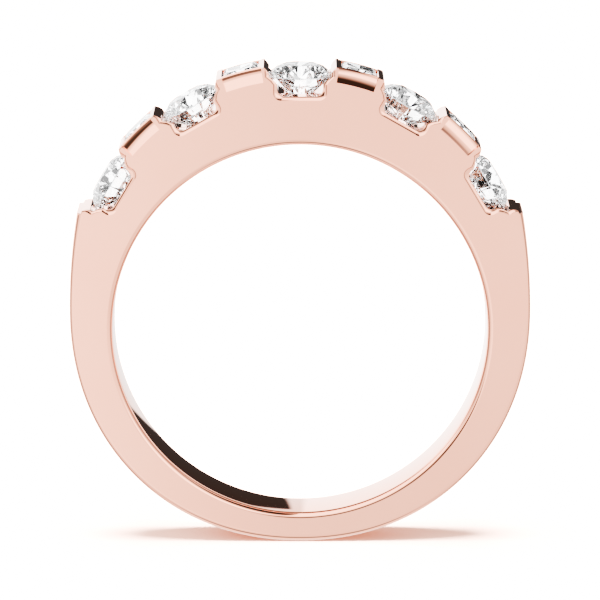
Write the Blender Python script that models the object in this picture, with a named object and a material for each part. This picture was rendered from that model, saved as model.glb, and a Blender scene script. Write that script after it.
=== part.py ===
"""Wedding band: a rose-gold band with five round brilliants and four princess-cut stones between them.

The band stands on its rim. X runs across the finger hole, Y along the finger, Z up through the centre
stone. The origin is on the lowest line of the rim, midway across the band's width.
"""

import math

import bmesh
import bpy
from mathutils import Matrix, Vector

MM = 0.001

# Finger hole and width.
FINGER_RADIUS = 8.65 * MM
BAND_WIDTH = 3.05 * MM
BOTTOM_THICKNESS = 1.38 * MM
HOLE_HEIGHT = FINGER_RADIUS + BOTTOM_THICKNESS

# Outline of the shank, measured from the centre of the finger hole. The lower half is a squared
# ellipse, and each flank leans in above it, on a large arc that ends at the shoulder.
WAIST_HEIGHT = 0.88 * MM
WAIST_HALF_WIDTH = 10.63 * MM
SHANK_SQUARENESS = 2.1
FLANK_RADIUS = 28.3 * MM
SHOULDER_HEIGHT = 5.50 * MM

# The head is an arc that carries the stones. Its centre lies above the centre of the finger hole.
HEAD_LIFT = 1.57 * MM
HEAD_RADIUS = 10.80 * MM
STONE_PITCH = math.radians(14.8)
ROUND_STEPS = (-4, -2, 0, 2, 4)
SQUARE_STEPS = (-3, -1, 1, 3)

# Rounded edges of the band.
INNER_EDGE = 0.26 * MM
RIM_EDGE = 0.30 * MM
FLANK_EDGE = 0.18 * MM
SHOULDER_EDGE = 0.28 * MM
HEAD_EDGE = 0.05 * MM

# Each round stone sits in a trough that crosses the head. These are half widths, and depths below
# the head arc. Each wall starts at a chamfered lip and steps in at a ledge under the girdle. The
# troughs grow shallower away from the top, and flare out in a hollow where they meet a face of the
# band.
TROUGH_TOP = 1.79 * MM
TROUGH_LIP = 1.53 * MM
TROUGH_LIP_DEPTH = 0.26 * MM
TROUGH_WALL = 1.43 * MM
TROUGH_WALL_DEPTHS = (0.42 * MM, 0.565 * MM)
TROUGH_LEDGE = 1.20 * MM
TROUGH_LEDGE_DEPTH = 0.75 * MM
TROUGH_FOOT = 1.05 * MM
TROUGH_FOOT_DEPTH = 0.92 * MM
TROUGH_DEPTHS = {0: 1.47 * MM, 2: 1.43 * MM, 4: 1.31 * MM}
TROUGH_CORNER = 0.36 * MM
FLARE_WIDTH = 0.18 * MM
FLARE_DEPTH = 0.08 * MM
FLARE_REACH = 0.21 * MM

# A cove is cut into each face of the head below a square stone.
COVE_HEIGHT = 0.68 * MM
COVE_DEPTH = 0.27 * MM
COVE_RIM = 0.06 * MM
COVE_HALF_ANGLE = math.radians(4.95)
COVE_ANGLES = [math.radians(turn) for turn in (-44.4, -14.45, 14.45, 44.4)]

# Round brilliants.
ROUND_DIAMETER = 3.04 * MM
ROUND_GIRDLE_RADIUS = 10.14 * MM
ROUND_TABLE = 0.56
ROUND_CROWN_SLOPE = math.radians(34.5)
ROUND_PAVILION_SLOPE = math.radians(40.8)
ROUND_STAR_LENGTH = 0.50
ROUND_LOWER_HALF_LENGTH = 0.77
ROUND_GIRDLE = 0.08 * MM
ROUND_SIDES = 48

# Princess-cut stones, each a little longer across the band than along it.
SQUARE_SIDE = 1.76 * MM
SQUARE_STRETCH = 1.24
SQUARE_TABLE = 0.70
SQUARE_CROWN = 0.20 * MM
SQUARE_GIRDLE = 0.04 * MM
SQUARE_UPPER_PAVILION_SLOPE = math.radians(60)
SQUARE_LOWER_PAVILION_SLOPE = math.radians(42)
SQUARE_UPPER_PAVILION_DEPTH = 0.33 * MM
SQUARE_TABLE_RADIUS = 10.83 * MM
SQUARE_CORNER_CUT = 0.06 * MM
CHEVRON_TURN = math.radians(9)

# Seats: the room around a stone, and the drilled hole under it.
SEAT_GAP = 0.02 * MM
ROUND_DRILL_RADIUS = 0.30 * MM
SQUARE_DRILL_HALF = 0.24 * MM
SQUARE_OPENING_HALF = 0.83 * MM
SQUARE_RIM = 0.09 * MM
DRILL_LENGTH = 3.70 * MM

BIG = 4.0 * MM
BOTTOM_SEGMENTS = 64
FLANK_SEGMENTS = 12
HEAD_SEGMENTS = 96
EDGE_SEGMENTS = 3
CORNER_SEGMENTS = 5
COVE_SEGMENTS = 6
COVE_STEPS = 6
FLARE_SEGMENTS = 3
DRILL_SIDES = 32

ROSE_GOLD = (0.83, 0.62, 0.55, 1.0)
DIAMOND = (0.93, 0.95, 0.96, 1.0)


def clear_scene():
    for obj in list(bpy.data.objects):
        bpy.data.objects.remove(obj, do_unlink=True)


def make_material(name, color, metallic, roughness):
    material = bpy.data.materials.new(name)
    material.use_nodes = True
    shader = material.node_tree.nodes["Principled BSDF"]
    shader.inputs["Base Color"].default_value = color
    shader.inputs["Metallic"].default_value = metallic
    shader.inputs["Roughness"].default_value = roughness
    material.diffuse_color = color
    return material


def make_object(name, bm, material=None):
    """Turns a bmesh into a linked object with its faces pointing out."""
    bmesh.ops.recalc_face_normals(bm, faces=bm.faces)
    mesh = bpy.data.meshes.new(name)
    bm.to_mesh(mesh)
    bm.free()
    obj = bpy.data.objects.new(name, mesh)
    bpy.context.scene.collection.objects.link(obj)
    if material:
        mesh.materials.append(material)
    return obj


def join_rings(bm, ring, following):
    """A wall between two closed rings of equally many vertices."""
    for i, vert in enumerate(ring):
        after = (i + 1) % len(ring)
        bm.faces.new((vert, ring[after], following[after], following[i]))


def head_frame(angle, radius):
    """Frame on the head arc: its Z points away from the head centre, and its X along the arc."""
    center = Matrix.Translation((0, 0, HOLE_HEIGHT + HEAD_LIFT))
    return center @ Matrix.Rotation(angle, 4, "Y") @ Matrix.Translation((0, 0, radius))


# ---------------------------------------------------------------- band outline


def lower_outline(turn):
    """Point (x, z) of the squared ellipse, where turn runs from 0 at +X to -pi at -X."""
    power = 2 / SHANK_SQUARENESS
    depth = HOLE_HEIGHT + WAIST_HEIGHT
    x = math.copysign(abs(math.cos(turn)) ** power, math.cos(turn)) * WAIST_HALF_WIDTH
    z = WAIST_HEIGHT - abs(math.sin(turn)) ** power * depth
    return x, z


def flank_half_width(height):
    rise = height - WAIST_HEIGHT
    return WAIST_HALF_WIDTH - FLANK_RADIUS + math.sqrt(FLANK_RADIUS**2 - rise**2)


def mix(a, b, share):
    return a + (b - a) * share


def outline():
    """Points (x, z, edge radius) round the outside of the band, from the hole's centre."""
    points = []
    for i in range(BOTTOM_SEGMENTS + 1):
        turn = -math.pi + math.pi * i / BOTTOM_SEGMENTS
        x, z = lower_outline(turn)
        points.append((x, z, mix(FLANK_EDGE, RIM_EDGE, math.sin(-turn) ** 2)))
    flank = []
    for i in range(1, FLANK_SEGMENTS + 1):
        share = i / FLANK_SEGMENTS
        z = mix(WAIST_HEIGHT, SHOULDER_HEIGHT, share)
        flank.append((flank_half_width(z), z, mix(FLANK_EDGE, SHOULDER_EDGE, share**2)))
    head = []
    head_end = STONE_PITCH * max(ROUND_STEPS) + math.asin(TROUGH_TOP / HEAD_RADIUS)
    for i in range(HEAD_SEGMENTS + 1):
        angle = mix(head_end, -head_end, i / HEAD_SEGMENTS)
        x = HEAD_RADIUS * math.sin(angle)
        head.append((x, HEAD_LIFT + HEAD_RADIUS * math.cos(angle), HEAD_EDGE))
    far_flank = [(-x, z, edge) for x, z, edge in reversed(flank)]
    return points + flank + head + far_flank


def quarter(y_center, y_sign, level, level_sign, radius, start):
    """Points (y, level) of one rounded edge. start is 0 on the face of the band, 1 on its rim."""
    points = []
    for i in range(EDGE_SEGMENTS + 1):
        turn = math.pi / 2 * abs(start - i / EDGE_SEGMENTS)
        y = y_sign * (y_center - radius * (1 - math.cos(turn)))
        points.append((y, level + level_sign * radius * (1 - math.sin(turn))))
    return points


def section(outer, edge):
    """Closed section (y, distance from the hole's axis) of the band between its inside and outside."""
    half = BAND_WIDTH / 2
    inside_front = quarter(half, -1, FINGER_RADIUS, 1, INNER_EDGE, 0)
    inside_back = quarter(half, 1, FINGER_RADIUS, 1, INNER_EDGE, 1)
    outside_back = quarter(half, 1, outer, -1, edge, 0)
    outside_front = quarter(half, -1, outer, -1, edge, 1)
    return inside_front + inside_back + outside_back + outside_front


def make_blank(material):
    """The band before any stone is set: its section swept once round the finger hole."""
    bm = bmesh.new()
    rings = []
    for x, z, edge in outline():
        outer = math.hypot(x, z)
        ring = []
        for y, distance in section(outer, edge):
            share = distance / outer
            ring.append(bm.verts.new((x * share, y, HOLE_HEIGHT + z * share)))
        rings.append(ring)
    for ring, following in zip(rings, rings[1:] + rings[:1]):
        join_rings(bm, ring, following)
    return make_object("band", bm, material)


# ---------------------------------------------------------------- cutters


def as_cutter(obj):
    obj.hide_render = True
    obj.display_type = "WIRE"


def bridge_rings(bm, rings):
    """A closed solid through rings of equally many vertices, capped on the first and the last."""
    for ring, following in zip(rings, rings[1:]):
        join_rings(bm, ring, following)
    bm.faces.new(rings[0])
    bm.faces.new(rings[-1])


def trough_profile(floor_depth, widen):
    """Section of a trough as (x, z) points below the head arc, opened out by widen under its lip."""
    wall = [
        (TROUGH_TOP, -BIG / 2),
        (TROUGH_TOP, 0),
        (TROUGH_LIP + widen / 2, TROUGH_LIP_DEPTH),
        (TROUGH_WALL + widen, TROUGH_WALL_DEPTHS[0]),
        (TROUGH_WALL + widen, TROUGH_WALL_DEPTHS[1]),
        (TROUGH_LEDGE + widen, TROUGH_LEDGE_DEPTH),
        (TROUGH_FOOT + widen, TROUGH_FOOT_DEPTH),
    ]
    center_x = TROUGH_FOOT + widen - TROUGH_CORNER
    center_depth = floor_depth + widen - TROUGH_CORNER
    for i in range(CORNER_SEGMENTS + 1):
        turn = math.pi / 2 * i / CORNER_SEGMENTS
        x = center_x + TROUGH_CORNER * math.cos(turn)
        wall.append((x, center_depth + TROUGH_CORNER * math.sin(turn)))
    right = [(x, -depth) for x, depth in wall]
    return right + [(-x, z) for x, z in reversed(right)]


def make_trough(step):
    """Cutter for the trough of a round stone, with its hollow flare at each face of the band."""
    half = BAND_WIDTH / 2
    bow = (FLARE_WIDTH**2 + FLARE_DEPTH**2) / (2 * FLARE_DEPTH)
    front = [(-half - BIG, FLARE_REACH)]
    for i in range(FLARE_SEGMENTS + 1):
        widen = FLARE_REACH * (1 - i / FLARE_SEGMENTS)
        rise = bow - math.sqrt(bow**2 - widen**2)
        front.append((-half + FLARE_DEPTH - rise, widen))
    stations = front + [(-y, widen) for y, widen in reversed(front)]
    bm = bmesh.new()
    rings = []
    for y, widen in stations:
        profile = trough_profile(TROUGH_DEPTHS[abs(step)], widen)
        rings.append([bm.verts.new((x, y, z)) for x, z in profile])
    bridge_rings(bm, rings)
    obj = make_object(f"trough_cutter_{step}", bm)
    obj.matrix_world = head_frame(step * STONE_PITCH, HEAD_RADIUS)
    return obj


def make_cove(angle, side):
    """Cutter for the cove in one face of the band, turned about the head centre."""
    radius = (COVE_HEIGHT**2 + COVE_DEPTH**2) / (2 * COVE_DEPTH)
    half = BAND_WIDTH / 2
    profile = []
    for i in range(COVE_SEGMENTS + 1):
        height = mix(COVE_HEIGHT, COVE_RIM, i / COVE_SEGMENTS)
        bow = radius - math.sqrt(radius**2 - height**2)
        profile.append((HEAD_RADIUS - height, side * (half - COVE_DEPTH + bow)))
    profile.append((HEAD_RADIUS + COVE_RIM, side * (half - COVE_DEPTH - 2 * COVE_RIM)))
    profile.append((HEAD_RADIUS + BIG, side * (half - COVE_DEPTH - 2 * COVE_RIM)))
    profile.append((HEAD_RADIUS + BIG, side * (half + BIG)))
    profile.append((HEAD_RADIUS - COVE_HEIGHT, side * (half + BIG)))
    bm = bmesh.new()
    rings = []
    for i in range(COVE_STEPS + 1):
        turn = mix(-COVE_HALF_ANGLE, COVE_HALF_ANGLE, i / COVE_STEPS)
        turned = Matrix.Rotation(turn, 4, "Y")
        rings.append([bm.verts.new(turned @ Vector((0, y, z))) for z, y in profile])
    bridge_rings(bm, rings)
    obj = make_object(f"cove_cutter_{side}", bm)
    obj.matrix_world = head_frame(angle, 0)
    return obj


def stack_rings(name, levels, sides, phase, stretch=1.0):
    """A solid with regular polygons stacked along Z. levels holds (corner radius, z) pairs."""
    bm = bmesh.new()
    rings = []
    for radius, z in levels:
        ring = []
        for i in range(sides):
            turn = phase + 2 * math.pi * i / sides
            y = radius * math.sin(turn) * stretch
            ring.append(bm.verts.new((radius * math.cos(turn), y, z)))
        rings.append(ring)
    bridge_rings(bm, rings)
    return make_object(name, bm)


def make_round_seat(step):
    """The seat that a stone-setter's burr leaves: drilled hole, cone, girdle notch and open top."""
    reach = ROUND_DIAMETER / 2 + SEAT_GAP
    ledge = ROUND_GIRDLE / 2 + SEAT_GAP
    cone = (reach - ROUND_DRILL_RADIUS) * math.tan(ROUND_PAVILION_SLOPE)
    table = reach * ROUND_TABLE
    crown = (reach - table) * math.tan(ROUND_CROWN_SLOPE)
    levels = [
        (ROUND_DRILL_RADIUS, -DRILL_LENGTH),
        (ROUND_DRILL_RADIUS, -ledge - cone),
        (reach, -ledge),
        (reach, ledge),
        (table, ledge + crown),
        (table, BIG / 2),
    ]
    obj = stack_rings(f"round_seat_cutter_{step}", levels, DRILL_SIDES, 0)
    obj.matrix_world = head_frame(step * STONE_PITCH, ROUND_GIRDLE_RADIUS)
    return obj


def square_girdle_radius():
    return SQUARE_TABLE_RADIUS - SQUARE_CROWN - SQUARE_GIRDLE / 2


def make_square_seat(step):
    """Pocket for a princess-cut stone: drilled hole, seat, girdle notch and the opening above it."""
    half = SQUARE_SIDE / 2 + SEAT_GAP
    ledge = SQUARE_GIRDLE / 2 + SEAT_GAP
    break_half = half - SQUARE_UPPER_PAVILION_DEPTH / math.tan(SQUARE_UPPER_PAVILION_SLOPE)
    break_depth = ledge + SQUARE_UPPER_PAVILION_DEPTH
    cone = (break_half - SQUARE_DRILL_HALF) * math.tan(SQUARE_LOWER_PAVILION_SLOPE)
    crown_slope = SQUARE_CROWN / (SQUARE_SIDE / 2 * (1 - SQUARE_TABLE))
    lip = (half - SQUARE_OPENING_HALF) * crown_slope
    top = HEAD_RADIUS - square_girdle_radius()
    levels = [
        (SQUARE_DRILL_HALF, -DRILL_LENGTH),
        (SQUARE_DRILL_HALF, -break_depth - cone),
        (break_half, -break_depth),
        (half, -ledge),
        (half, ledge),
        (SQUARE_OPENING_HALF, ledge + lip),
        (SQUARE_OPENING_HALF, top - SQUARE_RIM),
        (SQUARE_OPENING_HALF + SQUARE_RIM, top),
        (SQUARE_OPENING_HALF + SQUARE_RIM, BIG / 2),
    ]
    corners = [(size * math.sqrt(2), z) for size, z in levels]
    name = f"square_seat_cutter_{step}"
    obj = stack_rings(name, corners, 4, math.pi / 4, SQUARE_STRETCH)
    obj.matrix_world = head_frame(step * STONE_PITCH, square_girdle_radius())
    return obj


def make_band(material):
    band = make_blank(material)
    cutters = [make_trough(step) for step in ROUND_STEPS]
    cutters += [make_cove(angle, side) for angle in COVE_ANGLES for side in (-1, 1)]
    cutters += [make_round_seat(step) for step in ROUND_STEPS]
    cutters += [make_square_seat(step) for step in SQUARE_STEPS]
    for cutter in cutters:
        as_cutter(cutter)
        cut = band.modifiers.new(cutter.name, "BOOLEAN")
        cut.operation = "DIFFERENCE"
        cut.solver = "EXACT"
        cut.object = cutter
    band.data.shade_smooth()
    band.data.set_sharp_from_angle(angle=math.radians(30))
    return band


# ---------------------------------------------------------------- stones


def grind(bm, slope, azimuth, point, up):
    """Grinds one flat facet: keeps what lies under a plane through point that faces azimuth.

    slope is the facet's angle to the girdle plane, and up is 1 on the crown and -1 on the pavilion.
    """
    normal = (
        math.sin(slope) * math.cos(azimuth),
        math.sin(slope) * math.sin(azimuth),
        math.cos(slope) * up,
    )
    whole = bm.verts[:] + bm.edges[:] + bm.faces[:]
    cut = bmesh.ops.bisect_plane(
        bm, geom=whole, dist=1e-9, plane_co=point, plane_no=normal, clear_outer=True
    )["geom_cut"]
    rim = [item for item in cut if isinstance(item, bmesh.types.BMEdge)]
    open_rim = [edge for edge in rim if edge.is_boundary]
    if open_rim:
        bmesh.ops.contextual_create(bm, geom=open_rim)


def polar(radius, azimuth, z):
    return (radius * math.cos(azimuth), radius * math.sin(azimuth), z)


def plane_angles(a, b, c):
    """Slope and azimuth of the plane through three points, for grind."""
    ab = [q - p for p, q in zip(a, b)]
    ac = [q - p for p, q in zip(a, c)]
    nx = ab[1] * ac[2] - ab[2] * ac[1]
    ny = ab[2] * ac[0] - ab[0] * ac[2]
    nz = ab[0] * ac[1] - ab[1] * ac[0]
    azimuth = math.atan2(ny, nx)
    if nx * a[0] + ny * a[1] < 0:
        azimuth += math.pi
    return math.atan2(math.hypot(nx, ny), abs(nz)), azimuth


def round_brilliant_mesh(material):
    """A 57-facet round brilliant with its girdle round the origin and its table up."""
    radius = ROUND_DIAMETER / 2
    bm = bmesh.new()
    bmesh.ops.create_cone(
        bm, cap_ends=True, segments=ROUND_SIDES, radius1=radius, radius2=radius, depth=2 * radius
    )
    eighth = math.pi / 4
    edge_z = ROUND_GIRDLE / 2
    crown_rise = math.tan(ROUND_CROWN_SLOPE)
    table_z = edge_z + radius * (1 - ROUND_TABLE) * crown_rise
    table_flat = ROUND_TABLE * math.cos(eighth / 2)
    star_reach = mix(table_flat, 1, ROUND_STAR_LENGTH)
    star_z = edge_z + radius * (1 - star_reach * math.cos(eighth / 2)) * crown_rise
    lower_reach = 1 - ROUND_LOWER_HALF_LENGTH
    pavilion_rise = math.tan(ROUND_PAVILION_SLOPE)
    lower_z = -edge_z - radius * (1 - lower_reach * math.cos(eighth / 2)) * pavilion_rise
    grind(bm, 0, 0, (0, 0, table_z), 1)
    for i in range(8):
        turn = i * eighth
        grind(bm, ROUND_CROWN_SLOPE, turn, polar(radius, turn, edge_z), 1)
        grind(bm, ROUND_PAVILION_SLOPE, turn, polar(radius, turn, -edge_z), -1)
        star = polar(radius * star_reach, turn + eighth / 2, star_z)
        corner = polar(radius * ROUND_TABLE, turn, table_z)
        next_corner = polar(radius * ROUND_TABLE, turn + eighth, table_z)
        slope, azimuth = plane_angles(corner, next_corner, star)
        grind(bm, slope, azimuth, star, 1)
    for i in range(16):
        turn = (i + 1) // 2 * eighth
        between = i // 2 * eighth + eighth / 2
        star = polar(radius * star_reach, between, star_z)
        high = polar(radius, between, edge_z)
        slope, azimuth = plane_angles(star, high, polar(radius, turn, edge_z))
        grind(bm, slope, azimuth, star, 1)
        meet = polar(radius * lower_reach, between, lower_z)
        low = polar(radius, between, -edge_z)
        slope, azimuth = plane_angles(meet, low, polar(radius, turn, -edge_z))
        grind(bm, slope, azimuth, meet, -1)
    return finish_stone("round_brilliant", bm, material)


def princess_mesh(material):
    """A princess cut with its girdle round the origin and its table up."""
    half = SQUARE_SIDE / 2
    bm = bmesh.new()
    bmesh.ops.create_cube(bm, size=SQUARE_SIDE)
    bmesh.ops.scale(bm, verts=bm.verts, vec=(1, 1, 2))
    edge_z = SQUARE_GIRDLE / 2
    crown_slope = math.atan(SQUARE_CROWN / (half * (1 - SQUARE_TABLE)))
    corner = half * math.sqrt(2) - SQUARE_CORNER_CUT
    grind(bm, 0, 0, (0, 0, edge_z + SQUARE_CROWN), 1)
    break_half = half - SQUARE_UPPER_PAVILION_DEPTH / math.tan(SQUARE_UPPER_PAVILION_SLOPE)
    break_z = -edge_z - SQUARE_UPPER_PAVILION_DEPTH
    for i in range(4):
        side = i * math.pi / 2
        diagonal = side + math.pi / 4
        grind(bm, math.pi / 2, diagonal, polar(corner, diagonal, 0), 1)
        grind(bm, crown_slope, side, polar(half, side, edge_z), 1)
        grind(bm, crown_slope * 0.8, diagonal, polar(corner, diagonal, edge_z), 1)
        for turn in (-CHEVRON_TURN, CHEVRON_TURN):
            upper = SQUARE_UPPER_PAVILION_SLOPE
            grind(bm, upper, side + turn, polar(half, side, -edge_z), -1)
            lower = SQUARE_LOWER_PAVILION_SLOPE
            grind(bm, lower, side + 2 * turn, polar(break_half, side, break_z), -1)
    bmesh.ops.scale(bm, verts=bm.verts, vec=(1, SQUARE_STRETCH, 1))
    return finish_stone("princess_cut", bm, material)


def finish_stone(name, bm, material):
    bmesh.ops.remove_doubles(bm, verts=bm.verts, dist=1e-7)
    bmesh.ops.recalc_face_normals(bm, faces=bm.faces)
    mesh = bpy.data.meshes.new(name)
    bm.to_mesh(mesh)
    bm.free()
    mesh.materials.append(material)
    return mesh


def set_stones(kind, mesh, steps, radius):
    """Places one stone on the head arc for each step, numbered from -X to +X."""
    for number, step in enumerate(steps, start=1):
        stone = bpy.data.objects.new(f"{kind}_{number}", mesh)
        bpy.context.scene.collection.objects.link(stone)
        stone.matrix_world = head_frame(step * STONE_PITCH, radius)


def main():
    clear_scene()
    gold = make_material("rose_gold", ROSE_GOLD, 1.0, 0.08)
    diamond = make_material("diamond", DIAMOND, 0.0, 0.0)
    make_band(gold)
    set_stones("round_diamond", round_brilliant_mesh(diamond), ROUND_STEPS, ROUND_GIRDLE_RADIUS)
    set_stones("square_diamond", princess_mesh(diamond), SQUARE_STEPS, square_girdle_radius())


main()
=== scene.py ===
"""Looks of the rose-gold band with five round brilliants and four princess-cut stones."""

import math

import bmesh
import bpy
from mathutils import Matrix, Vector


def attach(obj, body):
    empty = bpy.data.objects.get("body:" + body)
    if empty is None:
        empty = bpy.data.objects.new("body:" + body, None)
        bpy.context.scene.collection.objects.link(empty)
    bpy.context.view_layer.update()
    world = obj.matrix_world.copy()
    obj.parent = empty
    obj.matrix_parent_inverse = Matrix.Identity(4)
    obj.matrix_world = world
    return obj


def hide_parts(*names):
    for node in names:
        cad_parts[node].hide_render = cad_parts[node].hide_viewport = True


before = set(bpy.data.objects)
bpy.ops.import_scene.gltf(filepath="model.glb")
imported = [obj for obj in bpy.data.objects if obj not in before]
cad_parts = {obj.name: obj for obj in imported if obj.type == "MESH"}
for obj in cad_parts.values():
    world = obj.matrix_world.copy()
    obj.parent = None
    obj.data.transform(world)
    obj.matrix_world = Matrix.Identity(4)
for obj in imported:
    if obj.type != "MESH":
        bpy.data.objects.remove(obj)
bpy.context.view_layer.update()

MM = 0.001

# ------------------------------------------------------------------ shape, as in the CAD model

FINGER_RADIUS = 8.65 * MM
BAND_WIDTH = 3.05 * MM
HOLE_HEIGHT = 10.03 * MM
WAIST_HEIGHT = 0.88 * MM
WAIST_HALF_WIDTH = 10.63 * MM
SHANK_SQUARENESS = 2.1
FLANK_RADIUS = 28.3 * MM
SHOULDER_HEIGHT = 5.50 * MM
HEAD_LIFT = 1.57 * MM
HEAD_RADIUS = 10.80 * MM
STONE_PITCH = math.radians(14.8)
ROUND_STEPS = (-4, -2, 0, 2, 4)
SQUARE_STEPS = (-3, -1, 1, 3)

INNER_EDGE = 0.26 * MM
RIM_EDGE = 0.30 * MM
FLANK_EDGE = 0.18 * MM
SHOULDER_EDGE = 0.28 * MM
HEAD_EDGE = 0.05 * MM

TROUGH_TOP = 1.79 * MM
TROUGH_LIP = 1.53 * MM
TROUGH_LIP_DEPTH = 0.26 * MM
TROUGH_WALL = 1.43 * MM
TROUGH_WALL_DEPTHS = (0.42 * MM, 0.565 * MM)
TROUGH_LEDGE = 1.20 * MM
TROUGH_LEDGE_DEPTH = 0.75 * MM
TROUGH_FOOT = 1.05 * MM
TROUGH_FOOT_DEPTH = 0.92 * MM
TROUGH_DEPTHS = {0: 1.47 * MM, 2: 1.43 * MM, 4: 1.31 * MM}
TROUGH_CORNER = 0.36 * MM
FLARE_WIDTH = 0.18 * MM
FLARE_DEPTH = 0.08 * MM
FLARE_REACH = 0.21 * MM

COVE_HEIGHT = 0.68 * MM
COVE_DEPTH = 0.27 * MM
COVE_RIM = 0.06 * MM
COVE_HALF_ANGLE = math.radians(4.95)
COVE_ANGLES = [math.radians(turn) for turn in (-44.4, -14.45, 14.45, 44.4)]

ROUND_DIAMETER = 3.04 * MM
ROUND_GIRDLE_RADIUS = 10.14 * MM
ROUND_TABLE = 0.56
ROUND_CROWN_SLOPE = math.radians(34.5)
ROUND_PAVILION_SLOPE = math.radians(40.8)
ROUND_STAR_LENGTH = 0.50
ROUND_LOWER_HALF_LENGTH = 0.77
ROUND_GIRDLE = 0.08 * MM

SQUARE_SIDE = 1.76 * MM
SQUARE_STRETCH = 1.24
SQUARE_TABLE = 0.70
SQUARE_CROWN = 0.20 * MM
SQUARE_GIRDLE = 0.04 * MM
SQUARE_UPPER_PAVILION_SLOPE = math.radians(60)
SQUARE_LOWER_PAVILION_SLOPE = math.radians(42)
SQUARE_UPPER_PAVILION_DEPTH = 0.33 * MM
SQUARE_TABLE_RADIUS = 10.83 * MM
SQUARE_CORNER_CUT = 0.06 * MM
SQUARE_CORNER_SHARE = 0.8
CHEVRON_TURN = math.radians(9)

SEAT_GAP = 0.02 * MM
ROUND_DRILL_RADIUS = 0.30 * MM
SQUARE_DRILL_HALF = 0.24 * MM
SQUARE_OPENING_HALF = 0.83 * MM
SQUARE_RIM = 0.09 * MM
DRILL_LENGTH = 3.70 * MM
BIG = 4.0 * MM

# Limits that sort faces by their unit normals: a face of the band is flat when its Y part is over
# FLAT_FACE, and a face of a stone is its girdle when its Z part is under GIRDLE_FACE.
FLAT_FACE = 0.9999
GIRDLE_FACE = 0.05
SMOOTH_LIMIT = math.radians(24)
NORMAL_WEIGHT = 60

# ------------------------------------------------------------------ steps of the meshes
# They are finer than the CAD model's, apart from HEAD_SEGMENTS, which is the same.

BOTTOM_SEGMENTS = 288
FLANK_SEGMENTS = 48
HEAD_SEGMENTS = 96
EDGE_SEGMENTS = 8
CORNER_SEGMENTS = 14
COVE_SEGMENTS = 20
COVE_STEPS = 20
FLARE_SEGMENTS = 10
DRILL_SIDES = 64
ROUND_SIDES = 96

GRIND_TOLERANCE = 1e-9
WELD_DISTANCE = 1e-7


def join_rings(bm, ring, following):
    """A closed strip of four-sided faces between two rings."""
    for i, vert in enumerate(ring):
        after = (i + 1) % len(ring)
        bm.faces.new((vert, ring[after], following[after], following[i]))


def bridge_rings(bm, rings):
    """A closed solid through all the rings, capped at both ends."""
    for ring, following in zip(rings, rings[1:]):
        join_rings(bm, ring, following)
    bm.faces.new(rings[0])
    bm.faces.new(rings[-1])


def mix(a, b, share):
    return a + (b - a) * share


def new_object(name, bm):
    bmesh.ops.recalc_face_normals(bm, faces=bm.faces)
    mesh = bpy.data.meshes.new(name)
    bm.to_mesh(mesh)
    bm.free()
    obj = bpy.data.objects.new(name, mesh)
    bpy.context.scene.collection.objects.link(obj)
    return obj


def head_frame(angle, radius):
    """A place above the head arc's centre, turned from +Z towards +X, with Z pointing outwards."""
    center = Matrix.Translation((0, 0, HOLE_HEIGHT + HEAD_LIFT))
    return center @ Matrix.Rotation(angle, 4, "Y") @ Matrix.Translation((0, 0, radius))


# ------------------------------------------------------------------ band


def lower_outline(turn):
    """The lower half of the outline, a superellipse, as (x, z) from the hole's centre."""
    power = 2 / SHANK_SQUARENESS
    depth = HOLE_HEIGHT + WAIST_HEIGHT
    x = math.copysign(abs(math.cos(turn)) ** power, math.cos(turn)) * WAIST_HALF_WIDTH
    return x, WAIST_HEIGHT - abs(math.sin(turn)) ** power * depth


def flank_half_width(height):
    rise = height - WAIST_HEIGHT
    return WAIST_HALF_WIDTH - FLANK_RADIUS + math.sqrt(FLANK_RADIUS**2 - rise**2)


def outline():
    """Points (x, z, edge radius) round the outside of the band, from the hole's centre."""
    points = []
    for i in range(BOTTOM_SEGMENTS + 1):
        turn = -math.pi + math.pi * i / BOTTOM_SEGMENTS
        x, z = lower_outline(turn)
        points.append((x, z, mix(FLANK_EDGE, RIM_EDGE, math.sin(-turn) ** 2)))
    flank = []
    for i in range(1, FLANK_SEGMENTS + 1):
        share = i / FLANK_SEGMENTS
        z = mix(WAIST_HEIGHT, SHOULDER_HEIGHT, share)
        flank.append((flank_half_width(z), z, mix(FLANK_EDGE, SHOULDER_EDGE, share**2)))
    head = []
    head_end = STONE_PITCH * max(ROUND_STEPS) + math.asin(TROUGH_TOP / HEAD_RADIUS)
    for i in range(HEAD_SEGMENTS + 1):
        angle = mix(head_end, -head_end, i / HEAD_SEGMENTS)
        x = HEAD_RADIUS * math.sin(angle)
        head.append((x, HEAD_LIFT + HEAD_RADIUS * math.cos(angle), HEAD_EDGE))
    far_flank = [(-x, z, edge) for x, z, edge in reversed(flank)]
    return points + flank + head + far_flank


def quarter(y_center, y_sign, level, level_sign, radius, start):
    """Arc of a rounded edge: it leaves the band's face with start 0 and ends there with start 1."""
    points = []
    for i in range(EDGE_SEGMENTS + 1):
        turn = math.pi / 2 * abs(start - i / EDGE_SEGMENTS)
        y = y_sign * (y_center - radius * (1 - math.cos(turn)))
        points.append((y, level + level_sign * radius * (1 - math.sin(turn))))
    return points


def section(outer, edge):
    """Section of the band as (y, distance from the hole's centre) points."""
    half = BAND_WIDTH / 2
    inside_front = quarter(half, -1, FINGER_RADIUS, 1, INNER_EDGE, 0)
    inside_back = quarter(half, 1, FINGER_RADIUS, 1, INNER_EDGE, 1)
    outside_back = quarter(half, 1, outer, -1, edge, 0)
    outside_front = quarter(half, -1, outer, -1, edge, 1)
    return inside_front + inside_back + outside_back + outside_front


def make_blank():
    """The shank, shoulders and head, swept round the hole, before any cut."""
    bm = bmesh.new()
    rings = []
    for x, z, edge in outline():
        outer = math.hypot(x, z)
        ring = []
        for y, distance in section(outer, edge):
            share = distance / outer
            ring.append(bm.verts.new((x * share, y, HOLE_HEIGHT + z * share)))
        rings.append(ring)
    for ring, following in zip(rings, rings[1:] + rings[:1]):
        join_rings(bm, ring, following)
    return new_object("band_polished", bm)


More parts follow.
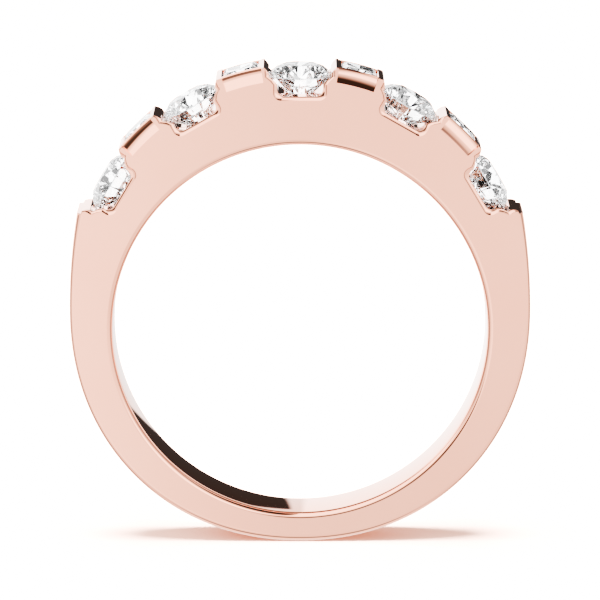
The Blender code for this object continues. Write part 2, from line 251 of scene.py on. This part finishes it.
def trough_profile(floor_depth, widen):
    """Section of a trough as (x, z) points below the head arc, opened out by widen under its lip."""
    wall = [
        (TROUGH_TOP, -BIG / 2),
        (TROUGH_TOP, 0),
        (TROUGH_LIP + widen / 2, TROUGH_LIP_DEPTH),
        (TROUGH_WALL + widen, TROUGH_WALL_DEPTHS[0]),
        (TROUGH_WALL + widen, TROUGH_WALL_DEPTHS[1]),
        (TROUGH_LEDGE + widen, TROUGH_LEDGE_DEPTH),
        (TROUGH_FOOT + widen, TROUGH_FOOT_DEPTH),
    ]
    center_x = TROUGH_FOOT + widen - TROUGH_CORNER
    center_depth = floor_depth + widen - TROUGH_CORNER
    for i in range(CORNER_SEGMENTS + 1):
        turn = math.pi / 2 * i / CORNER_SEGMENTS
        x = center_x + TROUGH_CORNER * math.cos(turn)
        wall.append((x, center_depth + TROUGH_CORNER * math.sin(turn)))
    right = [(x, -depth) for x, depth in wall]
    return right + [(-x, z) for x, z in reversed(right)]


def make_trough(step):
    """Cutter for the trough of a round stone, with its hollow flare at each face of the band."""
    half = BAND_WIDTH / 2
    bow = (FLARE_WIDTH**2 + FLARE_DEPTH**2) / (2 * FLARE_DEPTH)
    front = [(-half - BIG, FLARE_REACH)]
    for i in range(FLARE_SEGMENTS + 1):
        widen = FLARE_REACH * (1 - i / FLARE_SEGMENTS)
        rise = bow - math.sqrt(bow**2 - widen**2)
        front.append((-half + FLARE_DEPTH - rise, widen))
    stations = front + [(-y, widen) for y, widen in reversed(front)]
    bm = bmesh.new()
    rings = []
    for y, widen in stations:
        profile = trough_profile(TROUGH_DEPTHS[abs(step)], widen)
        rings.append([bm.verts.new((x, y, z)) for x, z in profile])
    bridge_rings(bm, rings)
    obj = new_object("cutter", bm)
    obj.matrix_world = head_frame(step * STONE_PITCH, HEAD_RADIUS)
    return obj


def make_cove(angle, side):
    """Cutter for the hollow under a square stone, on one face of the band."""
    radius = (COVE_HEIGHT**2 + COVE_DEPTH**2) / (2 * COVE_DEPTH)
    half = BAND_WIDTH / 2
    profile = []
    for i in range(COVE_SEGMENTS + 1):
        height = mix(COVE_HEIGHT, COVE_RIM, i / COVE_SEGMENTS)
        bow = radius - math.sqrt(radius**2 - height**2)
        profile.append((HEAD_RADIUS - height, side * (half - COVE_DEPTH + bow)))
    profile.append((HEAD_RADIUS + COVE_RIM, side * (half - COVE_DEPTH - 2 * COVE_RIM)))
    profile.append((HEAD_RADIUS + BIG, side * (half - COVE_DEPTH - 2 * COVE_RIM)))
    profile.append((HEAD_RADIUS + BIG, side * (half + BIG)))
    profile.append((HEAD_RADIUS - COVE_HEIGHT, side * (half + BIG)))
    bm = bmesh.new()
    rings = []
    for i in range(COVE_STEPS + 1):
        turn = mix(-COVE_HALF_ANGLE, COVE_HALF_ANGLE, i / COVE_STEPS)
        turned = Matrix.Rotation(turn, 4, "Y")
        rings.append([bm.verts.new(turned @ Vector((0, y, z))) for z, y in profile])
    bridge_rings(bm, rings)
    obj = new_object("cutter", bm)
    obj.matrix_world = head_frame(angle, 0)
    return obj


def stack_rings(levels, sides, phase, stretch=1.0):
    """Cutter through level rings, each given as (radius, z)."""
    bm = bmesh.new()
    rings = []
    for radius, z in levels:
        ring = []
        for i in range(sides):
            turn = phase + 2 * math.pi * i / sides
            y = radius * math.sin(turn) * stretch
            ring.append(bm.verts.new((radius * math.cos(turn), y, z)))
        rings.append(ring)
    bridge_rings(bm, rings)
    return new_object("cutter", bm)


def make_round_seat(step):
    """Cutter for a round stone's seat and the hole drilled below it."""
    reach = ROUND_DIAMETER / 2 + SEAT_GAP
    ledge = ROUND_GIRDLE / 2 + SEAT_GAP
    cone = (reach - ROUND_DRILL_RADIUS) * math.tan(ROUND_PAVILION_SLOPE)
    table = reach * ROUND_TABLE
    crown = (reach - table) * math.tan(ROUND_CROWN_SLOPE)
    levels = [
        (ROUND_DRILL_RADIUS, -DRILL_LENGTH),
        (ROUND_DRILL_RADIUS, -ledge - cone),
        (reach, -ledge),
        (reach, ledge),
        (table, ledge + crown),
        (table, BIG / 2),
    ]
    obj = stack_rings(levels, DRILL_SIDES, 0)
    obj.matrix_world = head_frame(step * STONE_PITCH, ROUND_GIRDLE_RADIUS)
    return obj


def square_girdle_radius():
    return SQUARE_TABLE_RADIUS - SQUARE_CROWN - SQUARE_GIRDLE / 2


def make_square_seat(step):
    """Cutter for a square stone's seat, the hole below it and the rimmed recess above it."""
    half = SQUARE_SIDE / 2 + SEAT_GAP
    ledge = SQUARE_GIRDLE / 2 + SEAT_GAP
    break_half = half - SQUARE_UPPER_PAVILION_DEPTH / math.tan(SQUARE_UPPER_PAVILION_SLOPE)
    break_depth = ledge + SQUARE_UPPER_PAVILION_DEPTH
    cone = (break_half - SQUARE_DRILL_HALF) * math.tan(SQUARE_LOWER_PAVILION_SLOPE)
    crown_slope = SQUARE_CROWN / (SQUARE_SIDE / 2 * (1 - SQUARE_TABLE))
    lip = (half - SQUARE_OPENING_HALF) * crown_slope
    top = HEAD_RADIUS - square_girdle_radius()
    levels = [
        (SQUARE_DRILL_HALF, -DRILL_LENGTH),
        (SQUARE_DRILL_HALF, -break_depth - cone),
        (break_half, -break_depth),
        (half, -ledge),
        (half, ledge),
        (SQUARE_OPENING_HALF, ledge + lip),
        (SQUARE_OPENING_HALF, top - SQUARE_RIM),
        (SQUARE_OPENING_HALF + SQUARE_RIM, top),
        (SQUARE_OPENING_HALF + SQUARE_RIM, BIG / 2),
    ]
    corners = [(size * math.sqrt(2), z) for size, z in levels]
    obj = stack_rings(corners, 4, math.pi / 4, SQUARE_STRETCH)
    obj.matrix_world = head_frame(step * STONE_PITCH, square_girdle_radius())
    return obj


def keep_faces_flat(mesh):
    """The front and back of the band are true planes, so their borders count as sharp edges."""
    bm = bmesh.new()
    bm.from_mesh(mesh)
    for edge in bm.edges:
        flat = [abs(face.normal.y) > FLAT_FACE for face in edge.link_faces]
        if any(flat) and not all(flat):
            edge.smooth = False
    bm.to_mesh(mesh)
    bm.free()


def make_band(material):
    """The swept blank with every cut made, as one finished mesh. Light in the stones misses it."""
    band = make_blank()
    cutters = [make_trough(step) for step in ROUND_STEPS]
    cutters += [make_cove(angle, side) for angle in COVE_ANGLES for side in (-1, 1)]
    cutters += [make_round_seat(step) for step in ROUND_STEPS]
    cutters += [make_square_seat(step) for step in SQUARE_STEPS]
    for cutter in cutters:
        cut = band.modifiers.new(cutter.name, "BOOLEAN")
        cut.operation = "DIFFERENCE"
        cut.solver = "EXACT"
        cut.object = cutter
    bpy.context.view_layer.update()
    graph = bpy.context.evaluated_depsgraph_get()
    mesh = bpy.data.meshes.new_from_object(band.evaluated_get(graph))
    band.modifiers.clear()
    band.data = mesh
    for cutter in cutters:
        bpy.data.objects.remove(cutter, do_unlink=True)
    mesh.shade_smooth()
    mesh.set_sharp_from_angle(angle=SMOOTH_LIMIT)
    keep_faces_flat(mesh)
    mesh.materials.clear()
    mesh.materials.append(material)
    weighted = band.modifiers.new("even_normals", "WEIGHTED_NORMAL")
    weighted.keep_sharp = True
    weighted.weight = NORMAL_WEIGHT
    band.visible_transmission = False
    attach(band, "root")
    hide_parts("band")


# ------------------------------------------------------------------ stones


def grind(bm, slope, azimuth, point, up):
    """Grind one facet: the plane through point that leans from the axis by slope, up 1 or -1."""
    normal = (
        math.sin(slope) * math.cos(azimuth),
        math.sin(slope) * math.sin(azimuth),
        math.cos(slope) * up,
    )
    whole = bm.verts[:] + bm.edges[:] + bm.faces[:]
    cut = bmesh.ops.bisect_plane(
        bm,
        geom=whole,
        dist=GRIND_TOLERANCE,
        plane_co=point,
        plane_no=normal,
        clear_outer=True,
    )["geom_cut"]
    rim = [item for item in cut if isinstance(item, bmesh.types.BMEdge)]
    open_rim = [edge for edge in rim if edge.is_boundary]
    if open_rim:
        bmesh.ops.contextual_create(bm, geom=open_rim)


def polar(radius, azimuth, z):
    return (radius * math.cos(azimuth), radius * math.sin(azimuth), z)


def plane_angles(a, b, c):
    """Slope and azimuth of the plane through three points, facing away from the stone's axis."""
    ab = [q - p for p, q in zip(a, b)]
    ac = [q - p for p, q in zip(a, c)]
    nx = ab[1] * ac[2] - ab[2] * ac[1]
    ny = ab[2] * ac[0] - ab[0] * ac[2]
    nz = ab[0] * ac[1] - ab[1] * ac[0]
    azimuth = math.atan2(ny, nx)
    if nx * a[0] + ny * a[1] < 0:
        azimuth += math.pi
    return math.atan2(math.hypot(nx, ny), abs(nz)), azimuth


def round_brilliant_mesh(materials):
    radius = ROUND_DIAMETER / 2
    bm = bmesh.new()
    bmesh.ops.create_cone(
        bm, cap_ends=True, segments=ROUND_SIDES, radius1=radius, radius2=radius, depth=2 * radius
    )
    eighth = math.pi / 4
    edge_z = ROUND_GIRDLE / 2
    crown_rise = math.tan(ROUND_CROWN_SLOPE)
    table_z = edge_z + radius * (1 - ROUND_TABLE) * crown_rise
    table_flat = ROUND_TABLE * math.cos(eighth / 2)
    star_reach = mix(table_flat, 1, ROUND_STAR_LENGTH)
    star_z = edge_z + radius * (1 - star_reach * math.cos(eighth / 2)) * crown_rise
    lower_reach = 1 - ROUND_LOWER_HALF_LENGTH
    pavilion_rise = math.tan(ROUND_PAVILION_SLOPE)
    lower_z = -edge_z - radius * (1 - lower_reach * math.cos(eighth / 2)) * pavilion_rise
    grind(bm, 0, 0, (0, 0, table_z), 1)
    for i in range(8):
        turn = i * eighth
        grind(bm, ROUND_CROWN_SLOPE, turn, polar(radius, turn, edge_z), 1)
        grind(bm, ROUND_PAVILION_SLOPE, turn, polar(radius, turn, -edge_z), -1)
        star = polar(radius * star_reach, turn + eighth / 2, star_z)
        corner = polar(radius * ROUND_TABLE, turn, table_z)
        next_corner = polar(radius * ROUND_TABLE, turn + eighth, table_z)
        slope, azimuth = plane_angles(corner, next_corner, star)
        grind(bm, slope, azimuth, star, 1)
    for i in range(16):
        turn = (i + 1) // 2 * eighth
        between = i // 2 * eighth + eighth / 2
        star = polar(radius * star_reach, between, star_z)
        high = polar(radius, between, edge_z)
        slope, azimuth = plane_angles(star, high, polar(radius, turn, edge_z))
        grind(bm, slope, azimuth, star, 1)
        meet = polar(radius * lower_reach, between, lower_z)
        low = polar(radius, between, -edge_z)
        slope, azimuth = plane_angles(meet, low, polar(radius, turn, -edge_z))
        grind(bm, slope, azimuth, meet, -1)
    return finish_stone("round_brilliant", bm, materials)


def princess_mesh(materials):
    half = SQUARE_SIDE / 2
    bm = bmesh.new()
    bmesh.ops.create_cube(bm, size=SQUARE_SIDE)
    bmesh.ops.scale(bm, verts=bm.verts, vec=(1, 1, 2))
    edge_z = SQUARE_GIRDLE / 2
    crown_slope = math.atan(SQUARE_CROWN / (half * (1 - SQUARE_TABLE)))
    corner = half * math.sqrt(2) - SQUARE_CORNER_CUT
    grind(bm, 0, 0, (0, 0, edge_z + SQUARE_CROWN), 1)
    break_half = half - SQUARE_UPPER_PAVILION_DEPTH / math.tan(SQUARE_UPPER_PAVILION_SLOPE)
    break_z = -edge_z - SQUARE_UPPER_PAVILION_DEPTH
    for i in range(4):
        side = i * math.pi / 2
        diagonal = side + math.pi / 4
        grind(bm, math.pi / 2, diagonal, polar(corner, diagonal, 0), 1)
        grind(bm, crown_slope, side, polar(half, side, edge_z), 1)
        corner_slope = crown_slope * SQUARE_CORNER_SHARE
        grind(bm, corner_slope, diagonal, polar(corner, diagonal, edge_z), 1)
        for turn in (-CHEVRON_TURN, CHEVRON_TURN):
            grind(bm, SQUARE_UPPER_PAVILION_SLOPE, side + turn, polar(half, side, -edge_z), -1)
            lower = SQUARE_LOWER_PAVILION_SLOPE
            grind(bm, lower, side + 2 * turn, polar(break_half, side, break_z), -1)
    bmesh.ops.scale(bm, verts=bm.verts, vec=(1, SQUARE_STRETCH, 1))
    return finish_stone("princess_cut", bm, materials)


def finish_stone(name, bm, materials):
    """Facets stay flat, and the girdle's upright faces take the second, ground material."""
    bmesh.ops.remove_doubles(bm, verts=bm.verts, dist=WELD_DISTANCE)
    bmesh.ops.recalc_face_normals(bm, faces=bm.faces)
    for face in bm.faces:
        face.smooth = False
        face.material_index = 1 if abs(face.normal.z) < GIRDLE_FACE else 0
    mesh = bpy.data.meshes.new(name)
    bm.to_mesh(mesh)
    bm.free()
    for material in materials:
        mesh.materials.append(material)
    return mesh


def set_stones(kind, mesh, steps, radius):
    """Copies of one stone along the head arc, each with its place in its own mesh."""
    for number, step in enumerate(steps, start=1):
        cut = mesh.copy()
        cut.transform(head_frame(step * STONE_PITCH, radius))
        stone = bpy.data.objects.new(f"{kind}_gem_{number}", cut)
        bpy.context.scene.collection.objects.link(stone)
        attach(stone, "root")
        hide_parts(f"{kind}_diamond_{number}")


# ------------------------------------------------------------------ materials
# The gold's base colour is more saturated than the CAD part's, because the scene's
# High Contrast view makes bright colours paler.

PLAIN_DETAIL = 3.0
PLAIN_NOISE_ROUGHNESS = 0.5

GOLD_DEEP = (0.872, 0.405, 0.270, 1)
GOLD_PALE = (0.888, 0.435, 0.296, 1)
GOLD_ROUGHNESS = (0.02, 0.055)
ALLOY_SCALE = 420.0
HAZE_SCALE = 1500.0
HAZE_DETAIL = 5.0
HAZE_NOISE_ROUGHNESS = 0.6

DIAMOND_IOR = 2.417
DIAMOND_TINTS = ((0.985, 0.990, 0.995, 1), (1.0, 1.0, 1.0, 1))
DIAMOND_ROUGHNESS = (0.0, 0.004)
CLARITY_SCALE = 900.0
GIRDLE_TINTS = ((0.90, 0.92, 0.93, 1), (0.98, 0.99, 1.0, 1))
GIRDLE_ROUGHNESS = (0.25, 0.45)
GRIT_SCALE = 9000.0
GRIT_DETAIL = 2.0


def new_material(name):
    material = bpy.data.materials.new(name)
    material.use_nodes = True
    tree = material.node_tree
    return material, tree, tree.nodes["Principled BSDF"]


def object_noise(tree, scale, detail=PLAIN_DETAIL, roughness=PLAIN_NOISE_ROUGHNESS):
    coordinates = tree.nodes.new("ShaderNodeTexCoord")
    noise = tree.nodes.new("ShaderNodeTexNoise")
    noise.inputs["Scale"].default_value = scale
    noise.inputs["Detail"].default_value = detail
    noise.inputs["Roughness"].default_value = roughness
    tree.links.new(coordinates.outputs["Object"], noise.inputs["Vector"])
    return noise


def map_range(tree, value, low, high):
    node = tree.nodes.new("ShaderNodeMapRange")
    node.inputs["To Min"].default_value = low
    node.inputs["To Max"].default_value = high
    tree.links.new(value, node.inputs["Value"])
    return node.outputs["Result"]


def color_range(tree, value, low, high):
    ramp = tree.nodes.new("ShaderNodeValToRGB")
    ramp.color_ramp.elements[0].color = low
    ramp.color_ramp.elements[1].color = high
    tree.links.new(value, ramp.inputs["Fac"])
    return ramp.outputs["Color"]


def finish_surface(tree, shader, color, roughness):
    tree.links.new(color, shader.inputs["Base Color"])
    tree.links.new(roughness, shader.inputs["Roughness"])


def gold_material():
    """Polished rose gold: a slightly uneven alloy colour and the faint haze of a polishing wheel."""
    material, tree, shader = new_material("rose_gold_polished")
    shader.inputs["Metallic"].default_value = 1.0
    alloy = object_noise(tree, ALLOY_SCALE).outputs["Fac"]
    haze = object_noise(tree, HAZE_SCALE, HAZE_DETAIL, HAZE_NOISE_ROUGHNESS).outputs["Fac"]
    color = color_range(tree, alloy, GOLD_DEEP, GOLD_PALE)
    finish_surface(tree, shader, color, map_range(tree, haze, *GOLD_ROUGHNESS))
    return material


def clear_material(name, scale, detail, tints, roughness):
    """Diamond, its tint and roughness varied a little by one noise."""
    material, tree, shader = new_material(name)
    shader.inputs["Transmission Weight"].default_value = 1.0
    shader.inputs["IOR"].default_value = DIAMOND_IOR
    noise = object_noise(tree, scale, detail).outputs["Fac"]
    color = color_range(tree, noise, *tints)
    finish_surface(tree, shader, color, map_range(tree, noise, *roughness))
    return material


# ------------------------------------------------------------------ studio

CAMERA_ELEVATION = math.radians(11.6)
CAMERA_DISTANCE = 204.46 * MM
CAMERA_LENS = 264.0
CAMERA_SENSOR = 36.0
CAMERA_SHIFT = 0.04025
CAMERA_CLIP = 0.01

FLOOR_SIZE = 1.5
# Painted bounce light: the floor's salmon tint stands in for warm light reflected off the gold onto
# the floor. The overhead lamp washes it out to white, and it shows only in the ring's shadow.
FLOOR_BOUNCE_TINT = (0.95, 0.62, 0.50, 1)
FLOOR_ROUGHNESS = 0.9

OVERHEAD_PLACE = (-0.02, 0.0, 0.45)
OVERHEAD_AIM = (0, 0, 0.01)
OVERHEAD_SIZE = 0.36
OVERHEAD_POWER = 24.0

# The surroundings are staged: the patches were placed and adjusted for the view from the
# photograph's side. Columns: turn from +Y towards +X, and rise above the horizon, each from low to
# high; level of light; softness of the edge in turn and in rise. Angles are in degrees. The camera
# is at turn 180, and +X, the picture's right, is at turn 90. Later patches cover earlier ones.
SKY_LEVEL = 1.95
SKY_PATCHES = [
    ((60, 120), (-60, 45), 0.75, 14, 8),  # right: grey
    ((240, 300), (-60, 14), 0.75, 10, 8),  # left: grey
    ((140, 220), (-72, -36), 0.55, 20, 6),  # camera's side, far below the horizon: dim
    ((120, 240), (-45, -13), 1.65, 8, 3),  # camera's side, below the horizon
    ((182, 215), (-30, -5), 2.45, 2.5, 3),  # camera's side, left, below the horizon: bright
    ((176, 214), (-3, 12), 0.34, 3, 3.5),  # camera's side, left, at the horizon: dark
    ((195, 214), (-3, 15), 0.14, 3, 3.5),  # the left part of the last: darker
    ((176, 300), (22, 88), 3.2, 4, 4),  # camera's side and left, high: bright
    ((140, 176), (2, 24), 3.4, 3, 4),  # camera's side, right, above the horizon: bright
    ((110, 176), (36, 85), 0.08, 3, 15),  # camera's side, right, high: black
    ((-75, 75), (40, 90), 0.35, 10, 8),  # behind the ring, high: dim
    ((-70, -0.5), (-25, 32), 3.2, 0.6, 4),  # behind the ring, left: bright
    ((34, 70), (-25, 32), 2.2, 2, 4),  # behind the ring, right: bright
    ((1.4, 33), (-4.2, 18), 0.08, 0.5, 0.7),  # behind the ring, between the last two: black
]

# Light that has passed through a stone meets random cells in place of the patches. A cell is dark
# or grey when its random number is under the first or the second share, and bright otherwise.
CELL_SCALE = 2.2
CELL_DARK_SHARE = 0.66
CELL_GREY_SHARE = 0.78
CELL_DARK = 0.03
CELL_GREY = 0.6
CELL_BRIGHT = 5.0

MAX_BOUNCES = 32
GLOSSY_BOUNCES = 24
TRANSMISSION_BOUNCES = 24


def make_camera():
    data = bpy.data.cameras.new("camera")
    data.lens = CAMERA_LENS
    data.sensor_width = CAMERA_SENSOR
    data.shift_y = CAMERA_SHIFT
    data.clip_start = CAMERA_CLIP
    camera = bpy.data.objects.new("camera", data)
    bpy.context.scene.collection.objects.link(camera)
    back = CAMERA_DISTANCE * math.cos(CAMERA_ELEVATION)
    rise = CAMERA_DISTANCE * math.sin(CAMERA_ELEVATION)
    camera.location = (0, -back, HOLE_HEIGHT + rise)
    camera.rotation_euler = (math.pi / 2 - CAMERA_ELEVATION, 0, 0)
    bpy.context.scene.camera = camera


def make_floor():
    """Paper tinted salmon, a painted warm bounce light from the gold that shows in its shadow;
    hidden from reflections and the stones.
    """
    bm = bmesh.new()
    bmesh.ops.create_grid(bm, x_segments=1, y_segments=1, size=FLOOR_SIZE)
    floor = new_object("floor", bm)
    material, tree, shader = new_material("floor_paper")
    # The floor's colour carries the painted warm bounce light seen in its shadow.
    shader.inputs["Base Color"].default_value = FLOOR_BOUNCE_TINT
    shader.inputs["Roughness"].default_value = FLOOR_ROUGHNESS
    shader.inputs["Specular IOR Level"].default_value = 0.0
    floor.data.materials.append(material)
    floor.visible_glossy = False
    floor.visible_transmission = False


class Sky:
    """Studio surroundings, painted as soft patches of brightness by direction."""

    def __init__(self, base):
        world = bpy.data.worlds.new("studio")
        bpy.context.scene.world = world
        world.use_nodes = True
        self.tree = world.node_tree
        self.background = self.tree.nodes["Background"]
        coordinates = self.tree.nodes.new("ShaderNodeTexCoord")
        self.direction = coordinates.outputs["Generated"]
        split = self.tree.nodes.new("ShaderNodeSeparateXYZ")
        self.tree.links.new(self.direction, split.inputs["Vector"])
        self.height = self.math("ARCSINE", split.outputs["Z"])
        value = self.tree.nodes.new("ShaderNodeValue")
        value.outputs[0].default_value = base
        self.level = value.outputs[0]

    def math(self, operation, *values):
        node = self.tree.nodes.new("ShaderNodeMath")
        node.operation = operation
        for socket, value in zip(node.inputs, values):
            if isinstance(value, (int, float)):
                socket.default_value = value
            else:
                self.tree.links.new(value, socket)
        return node.outputs[0]

    def dot(self, vector):
        node = self.tree.nodes.new("ShaderNodeVectorMath")
        node.operation = "DOT_PRODUCT"
        self.tree.links.new(self.direction, node.inputs[0])
        node.inputs[1].default_value = vector
        return node.outputs["Value"]

    def fade(self, value, edge, soft):
        """1 where value is under edge and 0 where it is over, with a step of twice soft between."""
        node = self.tree.nodes.new("ShaderNodeMapRange")
        node.interpolation_type = "SMOOTHSTEP"
        node.inputs["From Min"].default_value = edge - soft
        node.inputs["From Max"].default_value = edge + soft
        node.inputs["To Min"].default_value = 1.0
        node.inputs["To Max"].default_value = 0.0
        self.tree.links.new(value, node.inputs["Value"])
        return node.outputs["Result"]

    def blend(self, mask, level):
        """Cover what is painted so far with level, as far as mask says."""
        node = self.tree.nodes.new("ShaderNodeMix")
        self.tree.links.new(mask, node.inputs[0])
        self.tree.links.new(self.level, node.inputs[2])
        node.inputs[3].default_value = level
        self.level = node.outputs[0]

    def patch(self, turn, rise, level, soft_turn, soft_rise):
        """A patch between two turns and two rises, as in SKY_PATCHES."""
        middle = math.radians(sum(turn) / 2)
        ahead = (math.sin(middle), math.cos(middle), 0)
        right = (math.cos(middle), -math.sin(middle), 0)
        off = self.math("ABSOLUTE", self.math("ARCTAN2", self.dot(right), self.dot(ahead)))
        half_turn = math.radians(abs(turn[1] - turn[0]) / 2)
        across = self.fade(off, half_turn, math.radians(soft_turn))
        center = math.radians(sum(rise) / 2)
        half_rise = math.radians(abs(rise[1] - rise[0]) / 2)
        up = self.math("ABSOLUTE", self.math("SUBTRACT", self.height, center))
        along = self.fade(up, half_rise, math.radians(soft_rise))
        self.blend(self.math("MULTIPLY", across, along), level)

    def stones(self):
        """Light that has passed through a stone meets random cells: bright, grey or dark."""
        cells = self.tree.nodes.new("ShaderNodeTexVoronoi")
        cells.inputs["Scale"].default_value = CELL_SCALE
        self.tree.links.new(self.direction, cells.inputs["Vector"])
        split = self.tree.nodes.new("ShaderNodeSeparateColor")
        self.tree.links.new(cells.outputs["Color"], split.inputs["Color"])
        chance = split.outputs["Red"]
        dark = self.math("LESS_THAN", chance, CELL_DARK_SHARE)
        grey = self.math("LESS_THAN", chance, CELL_GREY_SHARE)
        to_grey = self.math("MULTIPLY", grey, CELL_BRIGHT - CELL_GREY)
        to_dark = self.math("MULTIPLY", dark, CELL_GREY - CELL_DARK)
        level = self.math("SUBTRACT", self.math("SUBTRACT", CELL_BRIGHT, to_grey), to_dark)
        path = self.tree.nodes.new("ShaderNodeLightPath")
        node = self.tree.nodes.new("ShaderNodeMix")
        self.tree.links.new(path.outputs["Is Transmission Ray"], node.inputs[0])
        self.tree.links.new(self.level, node.inputs[2])
        self.tree.links.new(level, node.inputs[3])
        self.level = node.outputs[0]

    def finish(self):
        self.tree.links.new(self.level, self.background.inputs["Strength"])
        self.background.inputs["Color"].default_value = (1, 1, 1, 1)


def make_sky():
    sky = Sky(SKY_LEVEL)
    for patch in SKY_PATCHES:
        sky.patch(*patch)
    sky.stones()
    sky.finish()


def make_overhead_light():
    """A round lamp above the ring, hidden from reflections and the stones."""
    data = bpy.data.lights.new("overhead", "AREA")
    data.shape = "DISK"
    data.size = OVERHEAD_SIZE
    data.energy = OVERHEAD_POWER
    light = bpy.data.objects.new("overhead", data)
    bpy.context.scene.collection.objects.link(light)
    light.location = OVERHEAD_PLACE
    aim = Vector(OVERHEAD_AIM) - Vector(OVERHEAD_PLACE)
    light.rotation_euler = aim.to_track_quat("-Z", "Y").to_euler()
    light.visible_glossy = False
    light.visible_transmission = False


make_camera()
make_floor()
make_band(gold_material())
stone_materials = [
    clear_material(
        "diamond_polished", CLARITY_SCALE, PLAIN_DETAIL, DIAMOND_TINTS, DIAMOND_ROUGHNESS
    ),
    clear_material("diamond_girdle", GRIT_SCALE, GRIT_DETAIL, GIRDLE_TINTS, GIRDLE_ROUGHNESS),
]
set_stones("round", round_brilliant_mesh(stone_materials), ROUND_STEPS, ROUND_GIRDLE_RADIUS)
set_stones("square", princess_mesh(stone_materials), SQUARE_STEPS, square_girdle_radius())
make_sky()
make_overhead_light()

cycles = bpy.context.scene.cycles
cycles.max_bounces = MAX_BOUNCES
cycles.glossy_bounces = GLOSSY_BOUNCES
cycles.transmission_bounces = TRANSMISSION_BOUNCES

settings = bpy.context.scene.view_settings
settings.view_transform = "AgX"
settings.look = "AgX - High Contrast"
